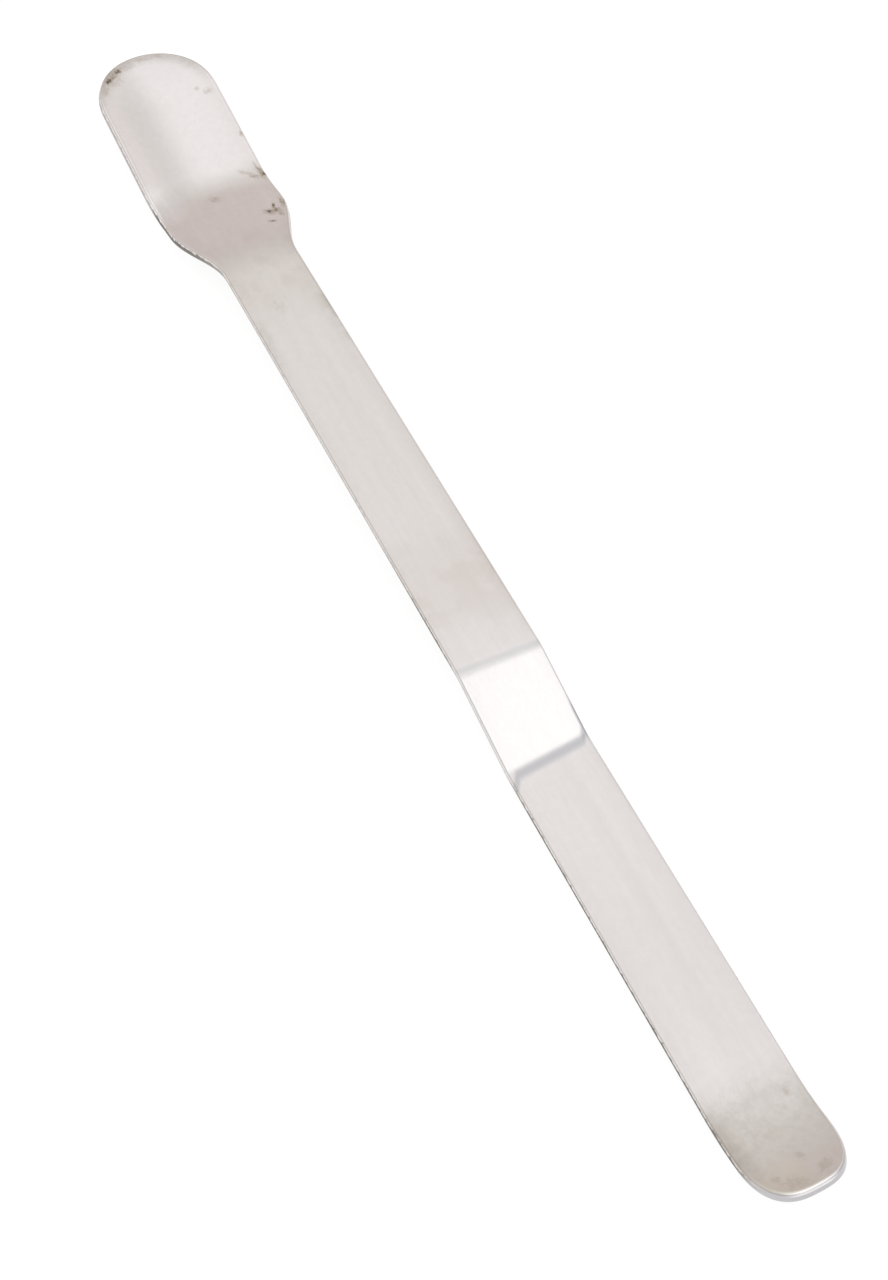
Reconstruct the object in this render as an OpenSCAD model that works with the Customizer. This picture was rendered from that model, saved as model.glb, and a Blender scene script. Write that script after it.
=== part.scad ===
// Lab spatula pressed and bent from one strip of stainless steel sheet.
// One end is a shallow scoop below a ramp, the other a flat blade with a curled end, and a crank
// steps the blade down from the handle. Lengths run along X from the nose of the scoop.

/* [Strip] */
// Width of the strip at the handle and the blade
strip_w = 8.7; // [6:0.1:12]
// Thickness of the sheet
sheet_t = 1; // [0.6:0.05:1.5]
// Radius of the tumbled edges all round
edge_r = 0.25; // [0.1:0.01:0.3]

/* [Scoop] */
// Width across the rims of the scoop
scoop_w = 13.9; // [12:0.1:18]
// Length from the nose to the crease at the foot of the ramp
scoop_len = 21.3; // [16:0.1:30]
// Length of the rounded nose
nose_len = 7.7; // [5:0.1:9]
// Depth of the trough below its rims
scoop_depth = 1.45; // [0.5:0.05:2.5]
// Upward pitch of the floor towards the nose, in degrees
scoop_pitch = 9.4; // [2:0.1:14]
// Extra rise of the floor at the very nose
nose_lift = 0.5; // [0:0.05:1.5]

/* [Ramp] */
// Length from the crease up to the handle
ramp_len = 15.8; // [13:0.1:24]
// Height of the handle above the floor at the crease
ramp_drop = 4.15; // [3:0.05:6]
// Bend radius at the crease
crease_r = 12; // [6:0.5:16]
// Bow of the crease towards the handle at the rims
crease_bow = 1.8; // [0:0.05:2.4]
// How far the crease is out of square, in degrees
crease_skew = -5; // [-8:0.1:8]
// Bend radius where the ramp meets the handle
ramp_r = 24; // [8:0.5:30]
// Length from the nose to the end of the parallel rims
shoulder_x = 27.9; // [24:0.1:36]
// Length of the shoulder that narrows to the strip
shoulder_len = 11; // [7:0.1:16]

/* [Handle and crank] */
// Length of the handle, from the ramp to the first bend of the crank
handle_len = 58.9; // [40:0.1:120]
// Length of the sloping panel between the two bends
crank_len = 10.1; // [6:0.1:16]
// Step down from the handle to the blade
crank_drop = 2.4; // [1:0.05:4]
// Inside radius of both bends of the crank
crank_r = 4; // [2:0.1:8]
// How far the bend line at the handle is out of square, in degrees
upper_skew = 2.9; // [-6:0.1:6]
// How far the bend line at the blade is out of square, in degrees
lower_skew = -4.4; // [-6:0.1:6]

/* [Blade] */
// Length of the blade, from the crank to its end
blade_len = 44.2; // [30:0.1:80]
// Length of the rounded end
end_len = 5.1; // [3:0.1:6.5]
// Squareness of the rounded end, where 2 is an ellipse
end_power = 2.8; // [2:0.1:4]
// Length of the end that curls up
curl_len = 9; // [7:0.1:14]
// Rise of the curled end
curl_rise = 3.4; // [1:0.05:4]

/* [Hidden] */

// Facets of each stretch of the outline, from the nose to the blade's end
nose_steps = 14;
trough_steps = 14;
shoulder_steps = 14;
bend_steps = 4;
curl_steps = 5;
end_steps = 12;
// Facets across half the width and round each edge
width_steps = 7;
edge_steps = 2;
// Step for measuring slopes on the surface
probe = 0.001;

// Stations along the part
ramp_x = scoop_len + ramp_len;
neck_x = shoulder_x + shoulder_len;
upper_x = ramp_x + handle_len;
lower_x = upper_x + crank_len;
end_x = lower_x + blade_len;
curl_x = end_x - curl_len;

// Slopes, and the half length of each bend along X
ramp_slope = ramp_drop / ramp_len;
crease_slope = ramp_slope + tan(scoop_pitch);
crank_slope = crank_drop / crank_len;
ramp_half = ramp_r * ramp_slope / 2;
crease_half = crease_r * crease_slope / 2;
crank_half = (crank_r + sheet_t) * crank_slope / 2;

// A bend: flat before -half, slope 1 after half, a smooth arc between
function bend(t, half) = t <= -half ? 0 : t >= half ? t : pow(t + half, 2) / (4 * half);

// Eased step from 0 to 1
function ease(t) = let (c = max(0, min(1, t))) c * c * (3 - 2 * c);

// Half the width of the sheet at x, before its ends are rounded
function half_w(x) = (strip_w + (scoop_w - strip_w) * ease((neck_x - x) / shoulder_len)) / 2;

// Height of the upper face above the handle's plane. The bowed crease lifts the rims a little, and the
// trough along the ramp the rest of the way.
trough_lift = scoop_depth - crease_slope * crease_bow;
function scoop_z(x, y) =
    let (rise = pow(y / half_w(x), 2))
    let (crease_x = scoop_len + crease_bow * rise + y * tan(crease_skew))
    crease_slope * bend(crease_x - x, crease_half)
    - ramp_slope * bend(ramp_x - x, ramp_half)
    + nose_lift * pow(max(0, nose_len - x) / nose_len, 2)
    + trough_lift * ease((ramp_x - x) / ramp_len) * rise;
function blade_z(x) =
    crank_slope * (bend(x - lower_x, crank_half) - bend(x - upper_x, crank_half))
    + curl_rise * pow(max(0, x - curl_x) / curl_len, 2);

// The bend lines of the crank are a little out of square, so the plan leans along X there
function lean(x) = lookup(x, [
    [upper_x - crank_len, 0],
    [upper_x, tan(upper_skew)],
    [lower_x, tan(lower_skew)],
    [lower_x + crank_len, 0]]);

// A point of the upper face over a point of the plan, and the face's normal there
function face(p) =
    [p.x + lean(p.x) * p.y, p.y, scoop_z(p.x, p.y) + blade_z(p.x)];
function normal(p) =
    let (along = face(p + [probe, 0]) - face(p - [probe, 0]))
    let (across = face(p + [0, probe]) - face(p - [0, probe]))
    let (n = cross(along, across))
    n / norm(n);

// Plan outline of one side, from the nose to the blade's end
function span(from, to, steps) = [for (i = [1 : steps]) from + (to - from) * i / steps];
rim_x = concat(
    span(nose_len, shoulder_x, trough_steps),
    span(shoulder_x, neck_x, shoulder_steps),
    span(neck_x, max(neck_x, ramp_x + ramp_half) + strip_w / 4, bend_steps),
    [for (x = [upper_x, lower_x]) for (t = [0 : bend_steps]) x + crank_half * (2 * t / bend_steps - 1)],
    [curl_x],
    span(curl_x, end_x - end_len, curl_steps));
nose = [for (i = [0 : nose_steps])
    let (a = 90 * i / nose_steps)
    [nose_len * (1 - cos(a)), half_w(nose_len) * sin(a)]];
blade_end = [for (i = [1 : end_steps])
    let (a = 90 * i / end_steps)
    let (along = pow(sin(a), 2 / end_power))
    let (across = pow(max(0, cos(a)), 2 / end_power))
    [end_x - end_len * (1 - along), strip_w / 2 * across]];
outline = concat(nose, [for (x = rim_x) [x, half_w(x)]], blade_end);
last = len(outline) - 1;

// Direction in the plan from the outline into the sheet
function inward(i) =
    i == 0 ? [1, 0] :
    i == last ? [-1, 0] :
    let (t = outline[i + 1] - outline[i - 1])
    [t.y, -t.x] / norm(t);

// A point of one side: inset from the outline and sunk below the upper face
function mirrored(p, side) = [p.x, side * p.y];
function rim(i, side, inset, depth) =
    let (p = mirrored(outline[i] + inset * inward(i), side))
    face(p) - depth * normal(p);

// A row of points from the middle of the sheet out to the rounded edge
function row(i, side, depth, first) =
    let (foot = [max(nose_len, min(end_x - end_len, outline[i].x)), 0])
    let (lip = mirrored(outline[i] + edge_r * inward(i), side))
    [for (j = [first : width_steps])
        let (p = foot + (lip - foot) * j / width_steps)
        face(p) - depth * normal(p)];

// The rounded edge of one side, from the upper face to the lower
function edge(i, side) = [for (k = [1 : 2 * edge_steps])
    let (low = k > edge_steps)
    let (a = 90 * (low ? 2 * edge_steps - k + 1 : k) / edge_steps)
    let (d = edge_r * (1 - cos(a)))
    rim(i, side, edge_r * (1 - sin(a)), low ? sheet_t - d : d)];

// One closed ring round the section at an outline point
function reversed(list) = [for (i = [len(list) - 1 : -1 : 0]) list[i]];
function ring(i) = concat(
    row(i, 1, 0, 0),
    edge(i, 1),
    reversed(row(i, 1, sheet_t, 0)),
    row(i, -1, sheet_t, 1),
    reversed(edge(i, -1)),
    reversed(row(i, -1, 0, 1)));

rings = [for (i = [0 : last]) ring(i)];
ring_len = len(rings[0]);
points = [for (r = rings) for (p = r) p];
// The rings fan out from one point at each end, where a triangle can shrink to a line
function whole(t) = let (p = points[t[0]], q = points[t[1]], r = points[t[2]]) p != q && q != r && r != p;
triangles = [for (i = [0 : last - 1]) for (k = [0 : ring_len - 1])
    let (a = i * ring_len + k)
    let (b = i * ring_len + (k + 1) % ring_len)
    for (t = [[a, b, b + ring_len], [a, b + ring_len, a + ring_len]]) if (whole(t)) t];

// At rest the sheet touches the table under the scoop and under the blade: the steepest line from a
// point under the scoop that stays below the whole blade
under = [for (i = [0 : last]) rings[i][ring_len / 2]];
rest_slope = max([for (a = under) if (a.x < ramp_x)
    min([for (b = under) if (b.x > lower_x) (b.z - a.z) / (b.x - a.x)])]);
rest_tilt = atan(rest_slope);
rest_x = [for (p = points) p.x * cos(rest_tilt) + p.z * sin(rest_tilt)];
rest_z = [for (p = points) p.z * cos(rest_tilt) - p.x * sin(rest_tilt)];

// The whole spatula, lying at rest with its middle over the origin
module spatula() {
    color([0.86, 0.85, 0.83])
        translate([-(min(rest_x) + max(rest_x)) / 2, 0, -min(rest_z)])
            rotate([0, rest_tilt, 0])
                polyhedron(points, triangles);
}

spatula();
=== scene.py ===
# %% [markdown]
# # A lab spatula, pressed from one strip of steel
#
# The real spatula is a single strip of stainless sheet. A press cut it to outline, sank a scoop into one
# end, bent a crank into the handle and curled up the end of the blade. This lesson makes it in the same
# order: cut a flat blank, press it, give it its thickness, round its edges. The satin finish, the camera
# and the light follow.
#
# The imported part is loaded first. It is the frame that everything is measured against, so its box is
# kept: the piece made here has to fill the same space.

import math

import bmesh
import bpy
from mathutils import Matrix, Vector


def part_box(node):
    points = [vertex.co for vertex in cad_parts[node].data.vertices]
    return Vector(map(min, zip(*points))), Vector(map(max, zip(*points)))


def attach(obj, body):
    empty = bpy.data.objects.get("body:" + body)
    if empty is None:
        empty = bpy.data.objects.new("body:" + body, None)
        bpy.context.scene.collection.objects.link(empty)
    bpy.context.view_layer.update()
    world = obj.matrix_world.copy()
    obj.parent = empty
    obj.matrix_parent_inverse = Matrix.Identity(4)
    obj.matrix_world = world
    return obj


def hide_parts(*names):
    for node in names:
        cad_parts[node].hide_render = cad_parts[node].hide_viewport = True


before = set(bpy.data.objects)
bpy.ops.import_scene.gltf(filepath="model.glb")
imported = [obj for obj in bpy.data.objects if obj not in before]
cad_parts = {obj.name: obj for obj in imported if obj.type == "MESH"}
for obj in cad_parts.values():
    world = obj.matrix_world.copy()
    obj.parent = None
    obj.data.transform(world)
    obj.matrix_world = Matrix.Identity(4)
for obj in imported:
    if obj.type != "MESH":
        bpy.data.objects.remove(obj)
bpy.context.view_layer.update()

# %% [markdown]
# ## The spatula's sizes
#
# A pressed part is easiest to describe by stations along its length. X runs from the nose of the scoop
# to the end of the blade, Y runs across, and Z is the height above the handle's upper face. Millimetres
# keep the numbers readable here. The finished piece is scaled to metres once, when it is put in place.

# %% Sizes in millimetres
STRIP_W = 8.7
SHEET_T = 1.0
EDGE_R = 0.25

SCOOP_W = 13.9
SCOOP_LEN = 21.3
NOSE_LEN = 7.7
SCOOP_DEPTH = 1.45
SCOOP_PITCH = math.radians(9.4)
NOSE_LIFT = 0.5

RAMP_LEN = 15.8
RAMP_DROP = 4.15
RAMP_R = 24.0
CREASE_R = 12.0
CREASE_BOW = 1.8
CREASE_SKEW = math.radians(-5.0)
SHOULDER_X = 27.9
SHOULDER_LEN = 11.0

HANDLE_LEN = 58.9
CRANK_LEN = 10.1
CRANK_DROP = 2.4
CRANK_R = 4.0
UPPER_SKEW = math.radians(2.9)
LOWER_SKEW = math.radians(-4.4)

BLADE_LEN = 44.2
END_LEN = 5.1
END_POWER = 2.8
CURL_LEN = 9.0
CURL_RISE = 3.4

RAMP_X = SCOOP_LEN + RAMP_LEN
NECK_X = SHOULDER_X + SHOULDER_LEN
UPPER_X = RAMP_X + HANDLE_LEN
LOWER_X = UPPER_X + CRANK_LEN
END_X = LOWER_X + BLADE_LEN
CURL_X = END_X - CURL_LEN
print("stations, mm:", [round(x, 1) for x in (SCOOP_LEN, RAMP_X, UPPER_X, LOWER_X, CURL_X, END_X)])

# %% [markdown]
# ## Outline of the blank
#
# A press starts from a flat blank with rounded ends. It is as wide as the strip, and widens through two
# shoulders to the scoop. At each end the corners are pulled in along lines from the middle until the
# outline is an ellipse at the nose and a squarer curve at the blade. Cutting the corners off would be
# quicker, but pulling them leaves even faces round the rim, which the rounding of the edge needs later.

# %% Outline of the blank
def ease(t):
    c = max(0.0, min(1.0, t))
    return c * c * (3 - 2 * c)


def half_width(x):
    return (STRIP_W + (SCOOP_W - STRIP_W) * ease((NECK_X - x) / SHOULDER_LEN)) / 2


def rounding(along, across, power):
    far = max(along, abs(across))
    return far / (along**power + abs(across) ** power) ** (1 / power) if far else 1.0


def blank_point(along, across):
    if along < NOSE_LEN:
        out = 1 - along / NOSE_LEN
        pull = rounding(out, across, 2)
        return Vector((NOSE_LEN * (1 - out * pull), half_width(NOSE_LEN) * across * pull, 0))
    if along > END_X - END_LEN:
        out = 1 - (END_X - along) / END_LEN
        pull = rounding(out, across, END_POWER)
        return Vector((END_X - END_LEN * (1 - out * pull), STRIP_W / 2 * across * pull, 0))
    return Vector((along, half_width(along) * across, 0))


print("half widths, mm:", [round(half_width(x), 2) for x in (SCOOP_LEN, RAMP_X, UPPER_X)])

# %% [markdown]
# ## Cutting the blank
#
# A grid is the right start in Blender: its rows will follow every bend, where one large flat face could
# not bend at all. The grid is a square that runs from -1 to 1 both ways. Its first number becomes the
# place along the blank, and its second the share of the half width there. Each point also notes how far
# it is from the rim, because dirt gathers there.

# %% Blank
ROWS = 500
COLUMNS = 28


def rim_distance(along, across):
    return min((1 - abs(across)) * half_width(along), along, END_X - along)


sheet = bmesh.new()
bmesh.ops.create_grid(sheet, x_segments=ROWS, y_segments=COLUMNS, size=1)
from_rim = sheet.verts.layers.float.new("from_rim")
for v in sheet.verts:
    along, across = END_X * (v.co.x + 1) / 2, v.co.y
    v[from_rim] = rim_distance(along, across)
    v.co = blank_point(along, across)
print("blank:", len(sheet.faces), "faces,", round(sum(f.calc_area() for f in sheet.faces)), "square mm")

# %% [markdown]
# ## Bends
#
# Two lattices or a stack of bend modifiers could push the blank into shape, but each one hides its sizes.
# Here the height is written down once, as a sum of simple bends. A bend is flat on one side, a straight
# slope on the other and a smooth arc between them, which is what a press brake makes. How far the arc
# reaches either way follows from its radius and from the slope.

# %% Slopes and arcs
RAMP_SLOPE = RAMP_DROP / RAMP_LEN
CREASE_SLOPE = RAMP_SLOPE + math.tan(SCOOP_PITCH)
CRANK_SLOPE = CRANK_DROP / CRANK_LEN
RAMP_HALF = RAMP_R * RAMP_SLOPE / 2
CREASE_HALF = CREASE_R * CREASE_SLOPE / 2
CRANK_HALF = (CRANK_R + SHEET_T) * CRANK_SLOPE / 2


def bend(t, half):
    if abs(t) < half:
        return (t + half) ** 2 / (4 * half)
    return max(t, 0.0)


print("arcs, mm either way:", [round(half, 2) for half in (RAMP_HALF, CREASE_HALF, CRANK_HALF)])

# %% [markdown]
# ## Pressing it
#
# The scoop adds a trough to its bends, a parabola across the width, and its crease bows towards the
# handle at the rims. The blade steps down through the crank and curls up at its end. The two bend lines
# of the crank are a few degrees out of square, so the sheet leans along X there.

# %% Press the scoop, the crank and the curl
TROUGH_LIFT = SCOOP_DEPTH - CREASE_SLOPE * CREASE_BOW


def scoop_height(x, y):
    rise = (y / half_width(x)) ** 2
    crease_x = SCOOP_LEN + CREASE_BOW * rise + y * math.tan(CREASE_SKEW)
    floor = CREASE_SLOPE * bend(crease_x - x, CREASE_HALF) - RAMP_SLOPE * bend(RAMP_X - x, RAMP_HALF)
    nose = NOSE_LIFT * (max(0.0, NOSE_LEN - x) / NOSE_LEN) ** 2
    return floor + nose + TROUGH_LIFT * ease((RAMP_X - x) / RAMP_LEN) * rise


def blade_height(x):
    step = bend(x - LOWER_X, CRANK_HALF) - bend(x - UPPER_X, CRANK_HALF)
    return CRANK_SLOPE * step + CURL_RISE * (max(0.0, x - CURL_X) / CURL_LEN) ** 2


def lean(x):
    upper, lower = math.tan(UPPER_SKEW), math.tan(LOWER_SKEW)
    if x < UPPER_X:
        return upper * max(0.0, 1 - (UPPER_X - x) / CRANK_LEN)
    if x < LOWER_X:
        return upper + (lower - upper) * (x - UPPER_X) / CRANK_LEN
    return lower * max(0.0, 1 - (x - LOWER_X) / CRANK_LEN)


for v in sheet.verts:
    x, y = v.co.x, v.co.y
    v.co = (x + lean(x) * y, y, scoop_height(x, y) + blade_height(x))
heights = [v.co.z for v in sheet.verts]
print("pressed, from", round(min(heights), 2), "to", round(max(heights), 2), "mm about the handle")

# %% [markdown]
# ## Thickness and tumbled edges
#
# The solidify operator copies the sheet one thickness below itself, along the normals, and closes the
# rim. It goes by the points' normals, so they are brought up to date first. Then a bevel rounds both
# borders of the rim, because spatulas are tumbled after cutting and no edge stays sharp. The faces of the
# rim get a number of their own before the bevel, which hands it on to the faces that it makes.

# %% Give the sheet its thickness and round the rim
EDGE_SEGMENTS = 4
SHARP = math.radians(45)

sheet.normal_update()
bmesh.ops.solidify(sheet, geom=sheet.faces[:], thickness=SHEET_T)
sheet.normal_update()
borders = [e for e in sheet.edges if e.calc_face_angle(0) > SHARP]
border_points = {v for e in borders for v in e.verts}
for f in sheet.faces:
    f.material_index = int(border_points.issuperset(f.verts))
bmesh.ops.bevel(
    sheet,
    geom=borders,
    offset=EDGE_R,
    offset_type="OFFSET",
    affect="EDGES",
    segments=EDGE_SEGMENTS,
    profile=0.5,
    material=-1,
)
print("solid:", len(sheet.faces), "faces,", round(sheet.calc_volume(), 1), "cubic mm")

# %% [markdown]
# ## Smooth above, torn below
#
# A press shears the upper half of the rim smooth and tears the lower half, which is left dark and rough.
# Two values on the points say where the rim is and how torn it is there, for the finish to read. They
# come from the numbered faces and from the depth below the upper face. The number is a material's place
# in the list, so it goes back to 0 after that: the spatula has one material.

# %% Note where the rim is torn
cut_edge = sheet.verts.layers.float.new("cut_edge")
sheared = sheet.verts.layers.float.new("sheared")
for v in sheet.verts:
    depth = scoop_height(v.co.x, v.co.y) + blade_height(v.co.x) - v.co.z
    v[cut_edge] = sum(f.material_index for f in v.link_faces) / len(v.link_faces)
    v[sheared] = v[cut_edge] * ease(depth / SHEET_T)
for f in sheet.faces:
    f.material_index = 0
    f.smooth = True
print("rim:", sum(v[cut_edge] > 0 for v in sheet.verts), "of", len(sheet.verts), "points")

# %% [markdown]
# ## Laying it down
#
# Put down on a bench, the spatula rocks until it touches under the scoop and under the blade. That turns
# it by less than a degree. The turn, the scale to metres and the shift are put into the mesh itself, so
# the object stays at the origin and a pattern on its coordinates can't slide. The shift comes from the
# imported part's own box.

# %% Put the spatula in its place
REST_TILT = math.radians(0.7072)
MM = 0.001

bmesh.ops.transform(sheet, matrix=Matrix.Rotation(REST_TILT, 4, "Y"), verts=sheet.verts)
bmesh.ops.scale(sheet, vec=(MM, MM, MM), verts=sheet.verts)
node_low, node_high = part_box("spatula")
along = [v.co.x for v in sheet.verts]
shift = Vector((
    (node_low.x + node_high.x - min(along) - max(along)) / 2,
    0,
    node_low.z - min(v.co.z for v in sheet.verts),
))
bmesh.ops.translate(sheet, vec=shift, verts=sheet.verts)

mesh = bpy.data.meshes.new("pressed_spatula")
sheet.to_mesh(mesh)
sheet.free()
spatula = bpy.data.objects.new("pressed_spatula", mesh)
bpy.context.scene.collection.objects.link(spatula)
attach(spatula, "root")
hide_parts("spatula")
print("placed: nose at", [round(1000 * c, 2) for c in shift], "mm,", len(mesh.vertices), "points")

# %% [markdown]
# ## Helpers for nodes
#
# A shader is easier to read as a list of sentences than as a list of links. One helper makes a node and
# fills its sockets: a plain value is set on the socket, and another node's output is linked to it. The
# two nodes that are used most, arithmetic and a change of range, get a short name each.

# %% Node helpers
def fill(tree, node, sockets):
    for name, value in sockets.items():
        if isinstance(value, bpy.types.NodeSocket):
            tree.links.new(value, node.inputs[name])
        else:
            node.inputs[name].default_value = value
    return node


def put(tree, kind, sockets, **settings):
    node = tree.nodes.new(kind)
    for name, value in settings.items():
        setattr(node, name, value)
    return fill(tree, node, sockets)


def sums(tree, operation, *values):
    return put(tree, "ShaderNodeMath", dict(enumerate(values)), operation=operation).outputs[0]


def remap(tree, value, low, high, to_low, to_high, how="SMOOTHSTEP"):
    sockets = {"Value": value, "From Min": low, "From Max": high, "To Min": to_low, "To Max": to_high}
    return put(tree, "ShaderNodeMapRange", sockets, interpolation_type=how).outputs["Result"]


print("node helpers: fill, put, sums and remap")

# %% [markdown]
# ## Lengthwise streaks
#
# The strip was rolled and polished along its length, so everything on its faces is drawn out that way:
# hair-fine lines a tenth or two of a millimetre apart and broad faint bands a millimetre or so wide. Both
# come from one noise that is stretched along X. A group holds it, with the number of lines per metre
# across and along as inputs, so that the finish can use it at each scale.

# %% Streaks
def new_group(name, inputs, outputs):
    group = bpy.data.node_groups.new(name, "ShaderNodeTree")
    for label in inputs:
        group.interface.new_socket(label, in_out="INPUT", socket_type="NodeSocketFloat")
    for label in outputs:
        group.interface.new_socket(label, in_out="OUTPUT", socket_type="NodeSocketFloat")
    return group, group.nodes.new("NodeGroupInput"), group.nodes.new("NodeGroupOutput")


streaks, given, taken = new_group("lengthwise_streaks", ["Across", "Along"], ["Streak"])
place = put(streaks, "ShaderNodeTexCoord", {}).outputs["Object"]
lines = put(
    streaks,
    "ShaderNodeCombineXYZ",
    {"X": given.outputs["Along"], "Y": given.outputs["Across"], "Z": given.outputs["Across"]},
).outputs[0]
drawn = put(streaks, "ShaderNodeVectorMath", {0: place, 1: lines}, operation="MULTIPLY").outputs[0]
sockets = {"Vector": drawn, "Scale": 1.0, "Detail": 3.0, "Roughness": 0.6}
grain = put(streaks, "ShaderNodeTexNoise", sockets).outputs["Fac"]
fill(streaks, taken, {"Streak": grain})
print("streaks group:", len(streaks.nodes), "nodes")

# %% [markdown]
# ## A stain's own coordinates
#
# Powders and damp have left dark specks on the steel. Each stain is an ellipse on the upper face whose
# inside is broken up by a fine noise, so it reads as a cluster of specks and not as a painted spot. The
# group takes the place, half sizes and turn of one ellipse. A Mapping node of the texture kind does the
# turning and scaling, and gives coordinates in which the ellipse is a circle of radius 1.

# %% Stain ellipse
stain, given, taken = new_group("stain", ["X", "Y", "Long", "Wide", "Turn"], ["Stain"])
place = put(stain, "ShaderNodeTexCoord", {}).outputs["Object"]
middle = put(stain, "ShaderNodeCombineXYZ", {"X": given.outputs["X"], "Y": given.outputs["Y"]}).outputs[0]
turn = put(stain, "ShaderNodeCombineXYZ", {"Z": given.outputs["Turn"]}).outputs[0]
halves = put(
    stain,
    "ShaderNodeCombineXYZ",
    {"X": given.outputs["Long"], "Y": given.outputs["Wide"], "Z": 1.0},
).outputs[0]
local = put(
    stain,
    "ShaderNodeMapping",
    {"Vector": place, "Location": middle, "Rotation": turn, "Scale": halves},
    vector_type="TEXTURE",
).outputs[0]
reach = put(stain, "ShaderNodeVectorMath", {0: local}, operation="LENGTH").outputs["Value"]
print("stain ellipse:", len(stain.nodes), "nodes")

# %% [markdown]
# ## Specks in a stain
#
# The noise is read in the ellipse's own coordinates, so it is drawn out with a long stain and shrinks
# with a small one. A shift that depends on the stain's place keeps any two from having the same specks.
# The further out a point is, the higher the noise has to be there to show.

# %% Stain specks
SPECK_SCALE = 3.4
APART = 5000.0

apart = put(stain, "ShaderNodeVectorMath", {0: middle, "Scale": APART}, operation="SCALE").outputs[0]
drawn = put(stain, "ShaderNodeVectorMath", {0: local, 1: apart}, operation="ADD").outputs[0]
sockets = {"Vector": drawn, "Scale": SPECK_SCALE, "Detail": 5.0, "Roughness": 0.65}
speck = put(stain, "ShaderNodeTexNoise", sockets).outputs["Fac"]
speck = remap(stain, speck, 0.3, 0.66, 0.0, 1.0, "LINEAR")
level = remap(stain, reach, 0.0, 1.0, 0.0, 1.3)
over = sums(stain, "SUBTRACT", speck, level)
fill(stain, taken, {"Stain": remap(stain, over, -0.3, 0.7, 0.0, 1.0)})
print("stain group:", len(stain.nodes), "nodes")

# %% [markdown]
# ## Bend lines
#
# Each bend of the crank shows a soft grey line across the strip, a painted reflection of a dark band that
# the curve mirrors. The lines are a few degrees out of square, as the bends are, and a line can hook along
# X near the rims and is darker at the right one. The group measures how far a point is from such a line
# and turns that into a soft mask. Made wide, the same mask picks out a whole stretch of the strip, which
# serves for the places that are dulled, dirty or worn.

# %% Bend lines
HALF_STRIP = STRIP_W / 2 * MM
HOOK_START = 0.78
RIGHT_DARKER = 1.8

bend_line, given, taken = new_group("bend_line", ["At", "Slant", "Hook", "Half Width"], ["Line"])
place = put(bend_line, "ShaderNodeTexCoord", {}).outputs["Object"]
spot = put(bend_line, "ShaderNodeSeparateXYZ", {"Vector": place}).outputs
side = sums(bend_line, "SIGN", spot["Y"])
out = sums(bend_line, "ABSOLUTE", spot["Y"])
rim_near = remap(bend_line, out, HOOK_START * HALF_STRIP, HALF_STRIP, 0.0, 1.0)
sided = sums(bend_line, "MULTIPLY", rim_near, side)
hooked = sums(bend_line, "MULTIPLY", sided, given.outputs["Hook"])
across = sums(bend_line, "ADD", sums(bend_line, "MULTIPLY", spot["Y"], given.outputs["Slant"]), hooked)
ahead = sums(bend_line, "SUBTRACT", sums(bend_line, "SUBTRACT", spot["X"], given.outputs["At"]), across)
off = sums(bend_line, "DIVIDE", sums(bend_line, "ABSOLUTE", ahead), given.outputs["Half Width"])
line = remap(bend_line, off, 1.0, 0.1, 0.0, 1.0)
darker = remap(bend_line, sided, 0.0, 1.0, 1.0, RIGHT_DARKER, "LINEAR")
fill(bend_line, taken, {"Line": sums(bend_line, "MULTIPLY", line, darker)})
print("bend line group:", len(bend_line.nodes), "nodes")

# %% [markdown]
# ## Rolled steel
#
# Stainless steel is a metal all over, and its base colour is the colour of its reflection, a warm light
# grey. One long list of nodes could make the whole finish, but it would be hard to follow. Here it is
# built in layers, each one a mask and a colour that is mixed over what is there already.
#
# Rolling comes first: broad bands of a slightly lighter steel. The hair-fine lines are made here too, and
# are kept for the roughness and the bump. A noise keeps mostly between 0.3 and 0.7, so a short helper
# spreads that over the range that a layer needs.

# %% Rolled steel
STEEL = (0.735, 0.696, 0.67, 1)
STEEL_LIGHT = (0.77, 0.735, 0.71, 1)
BANDS = {"Across": 700.0, "Along": 22.0}
HAIRS = {"Across": 6000.0, "Along": 110.0}

steel = bpy.data.materials.new("satin_steel")
steel.use_nodes = True
finish = steel.node_tree


def use_group(tree, group, sockets):
    return put(tree, "ShaderNodeGroup", sockets, node_tree=group).outputs[0]


def tint(tree, share, a, b, blend="MIX"):
    node = put(tree, "ShaderNodeMix", {0: share, 6: a, 7: b}, data_type="RGBA", blend_type=blend)
    return node.outputs[2]


def spread(grain, low, high, how="SMOOTHSTEP"):
    return remap(finish, grain, 0.3, 0.7, low, high, how)


bands = use_group(finish, streaks, BANDS)
hairs = use_group(finish, streaks, HAIRS)
color = tint(finish, spread(bands, 0.0, 1.0, "LINEAR"), STEEL, STEEL_LIGHT)
print("bands about", round(1000 / BANDS["Across"], 1), "mm wide, hairs", round(1000 / HAIRS["Across"], 2))

# %% [markdown]
# ## Dulled places
#
# Fingers hold the handle behind the ramp and before the crank. The steel is duller and browner there, in
# clouds, and a little duller over the far half of the handle. A mask could be painted by hand, but the
# wide mask of a bend line is enough, and its numbers can be read. Each pair below is a place along the
# spatula and how far the mask reaches either way, in millimetres.

# %% Dulled places
DULLED = (0.63, 0.575, 0.53, 1)
RAMP_GRIP = (40, 10)
CRANK_GRIP = (86, 9)
WHOLE_GRIP = (76, 24)
CLOUD_SCALE = 330.0

place = put(finish, "ShaderNodeTexCoord", {}).outputs["Object"]


def at_x(x):
    return x * MM + shift.x


def across_strip(x, half_wide, skew=0.0, hook=0.0):
    sockets = {"At": at_x(x), "Slant": math.tan(skew), "Hook": hook * MM, "Half Width": half_wide * MM}
    return use_group(finish, bend_line, sockets)


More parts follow.
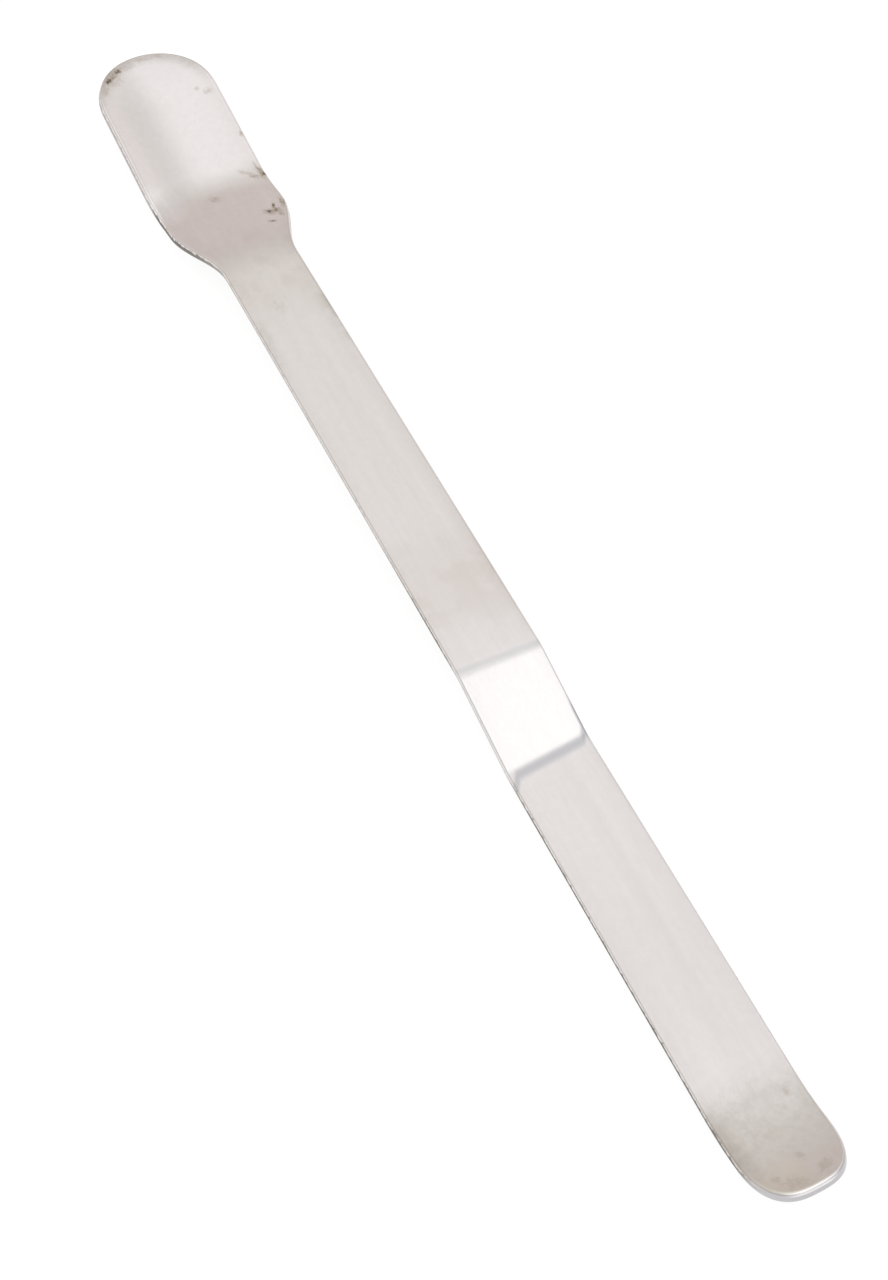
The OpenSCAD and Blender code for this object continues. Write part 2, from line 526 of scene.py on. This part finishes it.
def noise(scale, detail, roughness=0.5):
    sockets = {"Vector": place, "Scale": scale, "Detail": detail, "Roughness": roughness}
    return put(finish, "ShaderNodeTexNoise", sockets).outputs["Fac"]


def times(mask, *others):
    for other in others:
        mask = sums(finish, "MULTIPLY", mask, other)
    return mask


def between(mask, low, high):
    return remap(finish, mask, 0.0, 1.0, low, high)


clouds = remap(finish, noise(CLOUD_SCALE, 4.0), 0.38, 0.62, 0.0, 1.0)
held = sums(finish, "ADD", across_strip(*RAMP_GRIP), across_strip(*CRANK_GRIP))
held = times(held, between(clouds, 0.28, 0.56))
held = sums(finish, "ADD", held, times(across_strip(*WHOLE_GRIP), 0.12))
color = tint(finish, held, color, DULLED)
print("dulled places:", len(finish.nodes), "nodes so far")

# %% [markdown]
# ## Scoured scoop and painted light at the crease
#
# The scoop is painted a little lighter than the handle, with fainter bands: partly the powders and
# cleaning that have scoured it, and partly painted light for its bright bent floor. The lighter part ends
# near the crease, along a slanted line that runs on towards the handle at the left rim; that slanted end
# is painted light, which places the crease's change from bright to dark. A plain range along X would end
# it square, so the place along is shifted by the place across first. Beside the crease, the left rim is
# painted brighter still, a painted highlight. A fine mottle then goes over the whole spatula, as tumbling
# leaves it.

# %% Scoured scoop, painted light at the crease and fine mottle
SCOOP_LIGHT_AND_SCOURED = (0.792, 0.754, 0.734, 1)
PAINTED_HIGHLIGHT = (0.95, 0.94, 0.93, 1)
SCOOP_LIGHT_SLANT = 0.2
CREASE_HIGHLIGHT_PLACE = (23, 4.5)
MOTTLE_SCALE = 1200.0

spot = put(finish, "ShaderNodeSeparateXYZ", {"Vector": place}).outputs


def by_y(start, stop, low, high, how="SMOOTHSTEP"):
    return remap(finish, spot["Y"], start * MM, stop * MM, low, high, how)


# The scoop's lighter steel is partly scoured and partly painted light; its slanted end is painted light at
# the crease.
slanted = sums(finish, "ADD", spot["X"], times(spot["Y"], SCOOP_LIGHT_SLANT))
slanted = sums(finish, "SUBTRACT", slanted, by_y(-6.5, -1.0, 2.0 * MM, 0.0))
scoured_and_lit = remap(finish, slanted, at_x(SCOOP_LEN - 2), at_x(SCOOP_LEN + 2.5), 0.85, 0.0)
color = tint(finish, scoured_and_lit, color, SCOOP_LIGHT_AND_SCOURED)
# Painted highlight: the left rim beside the crease is made brighter, standing in for light on the bend.
painted_crease_highlight = times(by_y(-2.2, -6.2, 0.0, 0.75), across_strip(*CREASE_HIGHLIGHT_PLACE))
color = tint(finish, painted_crease_highlight, color, PAINTED_HIGHLIGHT)
mottle = noise(MOTTLE_SCALE, 4.0, 0.75)
color = tint(finish, remap(finish, mottle, 0.35, 0.7, 0.0, 0.14), color, DULLED)
print("scoop and mottle:", len(finish.nodes), "nodes so far")

# %% [markdown]
# ## Heat tint
#
# The curled end has been hot, and heated stainless steel turns brown, and straw yellow where it stayed
# cooler. One even band would look painted. The real tint fades towards the very end, is weaker on the
# right and is broken up by the mottle, so its mask is a product of all of these. Tint, lines and dirt lie
# on the upper face alone, which is known by its normal.

# %% Heat tint
HEAT_BROWN = (0.588, 0.55, 0.502, 1)
STRAW = (0.755, 0.722, 0.615, 1)
HEAT_X = CURL_X - 3.2

facing = put(finish, "ShaderNodeNewGeometry", {}).outputs["Normal"]
upward = put(finish, "ShaderNodeSeparateXYZ", {"Vector": facing}).outputs["Z"]
on_top = remap(finish, upward, 0.1, 0.5, 0.0, 1.0)
right_side = by_y(-1.0, 1.0, 0.0, 1.0)


def by_x(start, stop, low, high):
    return remap(finish, spot["X"], at_x(start), at_x(stop), low, high)


heat = times(
    by_x(HEAT_X, CURL_X + 1.9, 0.0, 1.0),
    by_x(END_X - 7, END_X - 1.5, 1.0, 0.22),
    by_y(-STRIP_W / 2, STRIP_W / 2, 1.0, 0.6, "LINEAR"),
    spread(mottle, 0.68, 1.22),
    on_top,
)
color = tint(finish, heat, color, HEAT_BROWN)
straw = times(by_x(END_X - 4.5, END_X - 1.5, 0.0, 0.6), between(right_side, 1.0, 0.2), on_top)
color = tint(finish, straw, color, STRAW)
print("heat tint from", round(HEAT_X, 1), "mm on:", len(finish.nodes), "nodes so far")

# %% [markdown]
# ## The crank's two bends
#
# The press bends the crank between a punch and a die. The sloping panel between the two bends is painted
# lighter, as part of its white reflection of the softbox, and each bend gets a thin grey line, a painted
# reflection of a dark band that the curve mirrors. The lower line is the stronger one, and its painted
# reflection runs on along the right rim beside it. Each point knows its distance from the rim since the
# blank was cut, so that place follows the outline exactly.

# %% Crank
PANEL_LIGHT = (0.76, 0.75, 0.74, 1)
BEND_REFLECTION_GREY = (0.45, 0.45, 0.47, 1)
PANEL_X = (UPPER_X + LOWER_X) / 2


def on_points(name):
    return put(finish, "ShaderNodeAttribute", {}, attribute_name=name).outputs["Fac"]


# Painted light: the crank's sloping panel is made lighter and more neutral, as part of its white
# reflection of the softbox.
painted_panel_light = remap(finish, across_strip(PANEL_X, 8), 0.0, 0.5, 0.0, 0.55)
color = tint(finish, painted_panel_light, color, PANEL_LIGHT)
# Painted reflections: a thin grey line at each bend of the crank stands in for the dark band that the
# curve mirrors.
upper_line = times(across_strip(UPPER_X - 0.25, 0.5, UPPER_SKEW), 0.2)
lower_line = times(across_strip(LOWER_X + 0.25, 0.86, LOWER_SKEW, -1.0), 0.65)
painted_bend_reflections = times(sums(finish, "ADD", upper_line, lower_line), on_top)
color = tint(finish, painted_bend_reflections, color, BEND_REFLECTION_GREY)
rim_gap = on_points("from_rim")
at_rim = remap(finish, rim_gap, 0.45, 0.1, 0.0, 1.0)
# The lower bend's painted reflection runs on along the right rim beside it.
painted_rim_reflection = times(at_rim, right_side, across_strip(LOWER_X - 2, 2.8), on_top)
color = tint(finish, painted_rim_reflection, color, BEND_REFLECTION_GREY)
print("panel at", round(PANEL_X, 1), "mm:", len(finish.nodes), "nodes so far")

# %% [markdown]
# ## Dirt along the rims
#
# Dirt stays where a cloth doesn't reach, in a thin border along the rim: at the nose, behind the ramp and
# at the curl. Each of the three places has a mask of its own, and the largest of them counts. The distance
# from the rim then narrows it to a border, and the mottle makes it patchy.

# %% Dirt along the rims
GRIME = (0.42, 0.38, 0.335, 1)
RAMP_DIRT = (49, 11)
BORDER_W = 1.8

at_nose = by_x(8, 3, 0.06, 0.62)
at_ramp = times(across_strip(*RAMP_DIRT), between(clouds, 0.06, 0.3))
at_curl = times(
    by_x(CURL_X - 2, CURL_X + 2, 0.0, 1.0),
    between(right_side, 0.6, 0.18),
    by_x(END_X - 5, END_X - 1.5, 1.0, 0.25),
)
grime = sums(finish, "MAXIMUM", sums(finish, "MAXIMUM", at_nose, at_ramp), at_curl)
border = remap(finish, rim_gap, BORDER_W, 0.1, 0.0, 1.0)
grime = times(grime, border, spread(mottle, 0.8, 1.1), on_top)
color = tint(finish, grime, color, GRIME)
print("dirt within", BORDER_W, "mm of the rim:", len(finish.nodes), "nodes so far")

# %% [markdown]
# ## Where the stains are
#
# Most stains are on the scoop, at its nose, its crease and its right shoulder. A few faint ones are on the
# handle and near the end of the blade. Scattering them at random would put them anywhere, so each one has
# a line of its own: its place along and across, its half length and half width, its turn in degrees and
# its strength. Where two overlap, the stronger one counts. A weak stain is brown, and only the middle of
# a strong one is nearly black.

# %% Places of the stains
STAINS = {
    "nose": (2.25, -4.0, 3.0, 1.2, -50, 0.6),
    "nose lower": (3.0, -4.8, 1.5, 0.9, -47, 0.9),
    "nose upper": (1.65, -3.15, 1.2, 0.9, -55, 0.9),
    "nose halo": (3.2, -3.9, 2.2, 1.4, -50, 0.2),
    "nose tail": (4.45, -5.6, 2.0, 0.7, -28, 0.28),
    "nose edge": (0.7, 0.3, 2.8, 0.6, 80, 0.3),
    "nose spot": (0.95, 2.3, 0.9, 0.6, 65, 0.4),
    "nose bridge": (1.3, -1.9, 2.2, 1.0, -75, 0.17),
    "wall": (8.4, 5.7, 1.4, 0.9, 60, 0.27),
    "wall dot": (7.3, 4.7, 0.8, 0.6, 55, 0.25),
    "scoop rim": (16.1, 6.75, 1.1, 0.5, 0, 0.5),
    "crease rim": (22.2, 6.5, 3.6, 0.7, 4, 0.55),
    "crease dot": (22.75, 6.7, 1.0, 0.6, 15, 1.0),
    "crease smudge": (22.4, 5.65, 1.9, 0.75, 33, 0.46),
    "crease smudge upper": (20.9, 4.75, 1.5, 0.6, 30, 0.26),
    "crease smudge lower": (21.5, 5.3, 1.6, 0.55, 38, 0.3),
    "crease speck": (23.6, 0.1, 1.8, 1.2, 20, 0.3),
    "ramp upper": (30.1, 4.45, 1.0, 0.75, 35, 0.9),
    "ramp lower": (30.25, 5.25, 1.3, 0.75, 0, 0.75),
    "ramp tick": (29.3, 5.3, 1.3, 0.45, -15, 0.95),
    "ramp halo": (30.4, 5.0, 2.6, 1.6, 58, 0.5),
    "ramp under": (31.3, 5.4, 1.3, 0.6, 30, 0.5),
    "ramp dash": (32.1, 4.0, 1.2, 0.5, 53, 0.75),
    "shoulder rim": (29.2, 6.4, 2.3, 0.8, -8, 0.55),
    "handle smudge": (45.8, -0.8, 2.2, 1.5, 0, 0.12),
    "blade speck": (142.3, 2.7, 1.1, 0.7, 10, 0.26),
    "blade smudge": (140.9, 0.2, 1.5, 0.6, -10, 0.12),
    "end smudge": (149.1, 1.5, 1.8, 1.0, 120, 0.22),
    "end smudge lower": (149.3, -1.4, 2.2, 1.5, 70, 0.16),
    "end dot": (147.5, 0.4, 0.9, 0.7, 45, 0.2),
    "end dot left": (148.4, -2.5, 1.0, 0.8, 45, 0.2),
}
print("stains:", len(STAINS))

# %% Stains
STAIN_BROWN = (0.42, 0.35, 0.28, 1)
STAIN_DARK = (0.11, 0.09, 0.07, 1)

stained = 0.0
for x, y, long, wide, turned, strength in STAINS.values():
    sockets = {
        "X": at_x(x),
        "Y": y * MM,
        "Long": long * MM,
        "Wide": wide * MM,
        "Turn": math.radians(turned),
    }
    one_stain = times(use_group(finish, stain, sockets), strength)
    stained = sums(finish, "MAXIMUM", stained, one_stain)
stained = times(stained, on_top)
color = tint(finish, remap(finish, stained, 0.0, 0.6, 0.0, 0.9, "LINEAR"), color, STAIN_BROWN)
color = tint(finish, remap(finish, stained, 0.4, 1.0, 0.0, 0.9), color, STAIN_DARK)
print("stained steel:", len(finish.nodes), "nodes so far")

# %% [markdown]
# ## Ground end, with painted shade and a painted highlight
#
# The rounded end of the blade was ground after it was cut, and its rim is painted a plain grey, darker
# than the steel, which also paints the shade on its lower half. One bright place a little left of its
# middle, on the upper half, is a painted highlight. A second material would do for that, but its border
# would be a hard line between faces. The values on the points blend it in.

# %% Ground end, painted shade and highlight
END_GREY_AND_SHADE = (0.54, 0.525, 0.54, 1)
HIGHLIGHT_Y = -0.4

rim = on_points("cut_edge")
sunk = on_points("sheared")
at_end = by_x(END_X - END_LEN, END_X - 1, 0.0, 1.0)
end_face = times(rim, at_end)
# Painted shade: the end face is made plain grey, darker than the steel, partly the ground steel and partly
# its shade.
color = tint(finish, end_face, color, END_GREY_AND_SHADE)
# Painted highlight: a bright place on the upper half of the end face, a little left of its middle.
aside = sums(finish, "ABSOLUTE", sums(finish, "SUBTRACT", spot["Y"], HIGHLIGHT_Y * MM))
upper_half = remap(finish, sunk, 0.3, 0.6, 1.0, 0.0)
painted_end_highlight = times(end_face, upper_half, remap(finish, aside, 1.1 * MM, 2.6 * MM, 1.0, 0.0))
color = tint(finish, painted_end_highlight, color, PAINTED_HIGHLIGHT)
print("ground end:", END_LEN, "mm long,", len(finish.nodes), "nodes so far")

# %% [markdown]
# ## Torn rim
#
# Everywhere else the rim is as the press left it, smooth near the upper face and torn below. The border
# between the two is ragged, so a fine noise shifts it. Round the scoop the tear is narrower and fainter.
# Hands have worn it paler along the handle. At the crank most of the dark is taken out, which paints the
# lamp's light on the rim there.

# %% Torn rim
TORN = (0.17, 0.155, 0.14, 1)
RAGGED_SCALE = 2200.0
WORN = (60, 32)

beyond = by_x(SCOOP_LEN - 1, SCOOP_LEN + 4, 0.0, 1.0)
ragged = spread(noise(RAGGED_SCALE, 2.0), -0.2, 0.2, "LINEAR")
tear = sums(finish, "ADD", sums(finish, "ADD", sunk, ragged), times(beyond, 0.22))
torn = times(
    remap(finish, tear, 0.3, 0.6, 0.0, 1.0),
    rim,
    between(beyond, 0.5, 1.0),
    remap(finish, across_strip(*WORN), 0.0, 0.35, 1.0, 0.45, "LINEAR"),
    # Painted light: at the crank the dark rim is mostly taken out, standing in for the lamp's light on it.
    remap(finish, across_strip(PANEL_X, 10), 0.0, 0.6, 1.0, 0.25, "LINEAR"),
    sums(finish, "SUBTRACT", 1.0, at_end),
)
color = tint(finish, torn, color, TORN)
print("torn rim:", len(finish.nodes), "nodes so far")

# %% [markdown]
# ## Roughness and bump
#
# The hair-fine lines make the steel satin: they vary its roughness a little and lift its surface by a
# hundredth of a millimetre at most. Stains and the torn rim are rougher than the steel round them. All
# layers meet in the Principled shader, and Metallic, which is the same all over, is set on its socket.

# %% Roughness and bump
HAIR_LIFT = 0.01
ROUGHER = 0.25

rough = spread(hairs, 0.17, 0.25, "LINEAR")
rough = sums(finish, "ADD", rough, times(stained, ROUGHER))
rough = sums(finish, "ADD", rough, times(torn, ROUGHER))
sockets = {"Height": hairs, "Strength": 0.1, "Distance": HAIR_LIFT * MM}
bump = put(finish, "ShaderNodeBump", sockets).outputs["Normal"]
shader = finish.nodes["Principled BSDF"]
fill(finish, shader, {"Base Color": color, "Metallic": 1.0, "Roughness": rough, "Normal": bump})
mesh.materials.append(steel)
print("satin steel:", len(finish.nodes), "nodes")

# %% [markdown]
# ## The camera
#
# The photograph was taken from close by, from above the blade and a little to its right, so the blade
# looks larger than the scoop. The camera's place, aim and lens were worked out from the outline in the
# photograph. The roll matters as much as the aim here: it sets how the spatula slants across the frame.

# %% Camera
CAMERA_AT = Vector((0.09284, -0.04071, 0.13633))
CAMERA_AIM = Vector((0.0152, -0.00311, 0.00163))
CAMERA_UP = Vector((-0.8961, 0.4436, 0.0111))
LENS = 46.59
NEAREST = 0.01

back = (CAMERA_AT - CAMERA_AIM).normalized()
right = CAMERA_UP.cross(back).normalized()
turn = Matrix((right, back.cross(right), back)).transposed()
camera = bpy.data.objects.new("camera", bpy.data.cameras.new("camera"))
camera.data.lens = LENS
camera.data.clip_start = NEAREST
camera.matrix_world = Matrix.Translation(CAMERA_AT) @ turn.to_4x4()
bpy.context.scene.collection.objects.link(camera)
bpy.context.scene.camera = camera
print("camera", round(1000 * (CAMERA_AT - CAMERA_AIM).length), "mm from its aim")

# %% [markdown]
# ## White paint for the table
#
# The photograph has a plain white ground. More light would make the floor white, and the spatula too
# bright with it. So the floor is white to the camera and to what mirrors it, by a glow that only those
# rays see. A share of ordinary diffuse white stays in it, so the spatula still leaves its soft shadow. To
# all other rays the floor is plain pale paint and gives no extra light.

# %% Floor paint
PALE = (0.8, 0.8, 0.8, 1)
FAINT = (0.2, 0.2, 0.2, 1)
WHITE = (1, 1, 1, 1)
FLOOR_GLOW = 0.85


def seen_directly(tree):
    path = put(tree, "ShaderNodeLightPath", {}).outputs
    either = sums(tree, "MAXIMUM", path["Is Camera Ray"], path["Is Glossy Ray"])
    return sums(tree, "MAXIMUM", either, path["Is Transmission Ray"])


paper = bpy.data.materials.new("white_table")
paper.use_nodes = True
tree = paper.node_tree
tree.nodes.remove(tree.nodes["Principled BSDF"])
plain = put(tree, "ShaderNodeBsdfDiffuse", {"Color": PALE}).outputs[0]
faint = put(tree, "ShaderNodeBsdfDiffuse", {"Color": FAINT}).outputs[0]
glow = put(tree, "ShaderNodeEmission", {"Color": WHITE, "Strength": FLOOR_GLOW}).outputs[0]
bright = put(tree, "ShaderNodeAddShader", {0: faint, 1: glow}).outputs[0]
shown = put(tree, "ShaderNodeMixShader", {0: seen_directly(tree), 1: plain, 2: bright}).outputs[0]
fill(tree, tree.nodes["Material Output"], {"Surface": shown})
print("floor paint:", len(tree.nodes), "nodes")

# %% [markdown]
# ## The table
#
# The table only has to reach past every edge of the picture, so one large flat face is enough. It isn't
# part of the spatula.

# %% Floor
FLOOR_HALF = 3.0

table_top = bmesh.new()
bmesh.ops.create_grid(table_top, x_segments=1, y_segments=1, size=FLOOR_HALF)
floor_mesh = bpy.data.meshes.new("table")
table_top.to_mesh(floor_mesh)
table_top.free()
floor_mesh.materials.append(paper)
floor = bpy.data.objects.new("table", floor_mesh)
bpy.context.scene.collection.objects.link(floor)
print("floor", 2 * FLOOR_HALF, "m square")

# %% [markdown]
# ## Colours of the sky
#
# Metal shows its surroundings more than its own colour, so the sky does most of the work. It is bright
# above and warmer and dimmer low down: the ramp and the curled end lean that way and turn grey. Across
# the spatula it has one dim stretch, which the left wall of the scoop picks up, and a bright and slightly
# bluish one beyond it. Two colour ramps hold this, one by height and one from side to side.

# %% Sky colours
SKY_UP = {
    0.0: (0.714, 0.651, 0.644),
    0.25: (0.727, 0.664, 0.654),
    0.37: (0.718, 0.665, 0.66),
    0.5: (0.771, 0.745, 0.732),
    0.75: (0.919, 0.915, 0.91),
    0.87: (1.046, 1.047, 1.073),
    0.9: (1.023, 1.023, 1.046),
    0.94: (0.938, 0.938, 0.96),
    1.0: (0.965, 0.965, 0.985),
}
SKY_ACROSS = {
    0.0: 1.0,
    0.36: 1.045,
    0.55: 1.073,
    0.6: 1.06,
    0.645: 1.028,
    0.69: 0.96,
    0.73: 0.91,
    0.78: 0.99,
    0.81: 1.11,
    0.835: (1.285, 1.295, 1.335),
    0.86: (1.28, 1.295, 1.35),
    0.93: (1.065, 1.08, 1.12),
    1.0: 0.95,
}


def ramp(tree, value, stops):
    node = put(tree, "ShaderNodeValToRGB", {"Fac": value})
    while len(node.color_ramp.elements) < len(stops):
        node.color_ramp.elements.new(0.5)
    for element, (at, shade) in zip(node.color_ramp.elements, stops.items()):
        element.position = at
        element.color = (*shade, 1) if isinstance(shade, tuple) else (shade, shade, shade, 1)
    return node.outputs["Color"]


print("sky:", len(SKY_UP), "colours upwards,", len(SKY_ACROSS), "across")

# %% [markdown]
# ## The sky
#
# The two ramps are multiplied. Low down, the sky is more neutral away from the scoop's end. The camera
# itself sees plain white in place of the sky, as in the photograph.

# %% Sky
NEUTRAL = (1.03, 1.1, 1.11, 1)

world = bpy.data.worlds.new("studio")
world.use_nodes = True
bpy.context.scene.world = world
tree = world.node_tree
aim = put(tree, "ShaderNodeTexCoord", {}).outputs["Generated"]
aim = put(tree, "ShaderNodeSeparateXYZ", {"Vector": aim}).outputs
up = ramp(tree, aim["Z"], SKY_UP)
across = ramp(tree, remap(tree, aim["Y"], -1.0, 1.0, 0.0, 1.0, "LINEAR"), SKY_ACROSS)
shade = tint(tree, 1.0, up, across, "MULTIPLY")
low_sky = remap(tree, aim["Z"], 0.3, 0.55, 1.0, 0.0)
blade_side = sums(tree, "MULTIPLY", low_sky, remap(tree, aim["X"], -0.75, -0.2, 0.0, 1.0))
shade = tint(tree, blade_side, shade, NEUTRAL, "MULTIPLY")
sky = fill(tree, tree.nodes["Background"], {"Color": shade, "Strength": 1.0})
white = put(tree, "ShaderNodeBackground", {"Color": WHITE, "Strength": 1.0})
camera_ray = put(tree, "ShaderNodeLightPath", {}).outputs["Is Camera Ray"]
both = put(tree, "ShaderNodeMixShader", {0: camera_ray, 1: sky.outputs[0], 2: white.outputs[0]})
fill(tree, tree.nodes["World Output"], {"Surface": both.outputs[0]})
print("sky:", len(tree.nodes), "nodes")

# %% [markdown]
# ## A softbox
#
# A softbox overhead, on the blade's side, is mirrored by the sloping panel of the crank alone, and that is
# why the panel is white. A lamp's energy is shared out over its area, so the energy is worked out from how
# bright the box should look. Its sides can then move without a change of brightness.

# %% Softbox
SOFTBOX_X = (-0.04, 0.62)
SOFTBOX_Y = (-0.95, 0.90)
SOFTBOX_Z = 1.0
SOFTBOX_GLOW = 0.435

lamp = bpy.data.lights.new("softbox", "AREA")
lamp.shape = "RECTANGLE"
lamp.size = SOFTBOX_X[1] - SOFTBOX_X[0]
lamp.size_y = SOFTBOX_Y[1] - SOFTBOX_Y[0]
lamp.energy = SOFTBOX_GLOW * math.pi * lamp.size * lamp.size_y
softbox = bpy.data.objects.new("softbox", lamp)
softbox.location = (sum(SOFTBOX_X) / 2, sum(SOFTBOX_Y) / 2, SOFTBOX_Z)
bpy.context.scene.collection.objects.link(softbox)
print("softbox", round(lamp.energy, 2), "W,", round(lamp.size, 2), "by", round(lamp.size_y, 2), "m")

# %% [markdown]
# ## Finishing
#
# The Standard view shows colours as they are written.

# %% Finish
bpy.context.scene.view_settings.view_transform = "Standard"
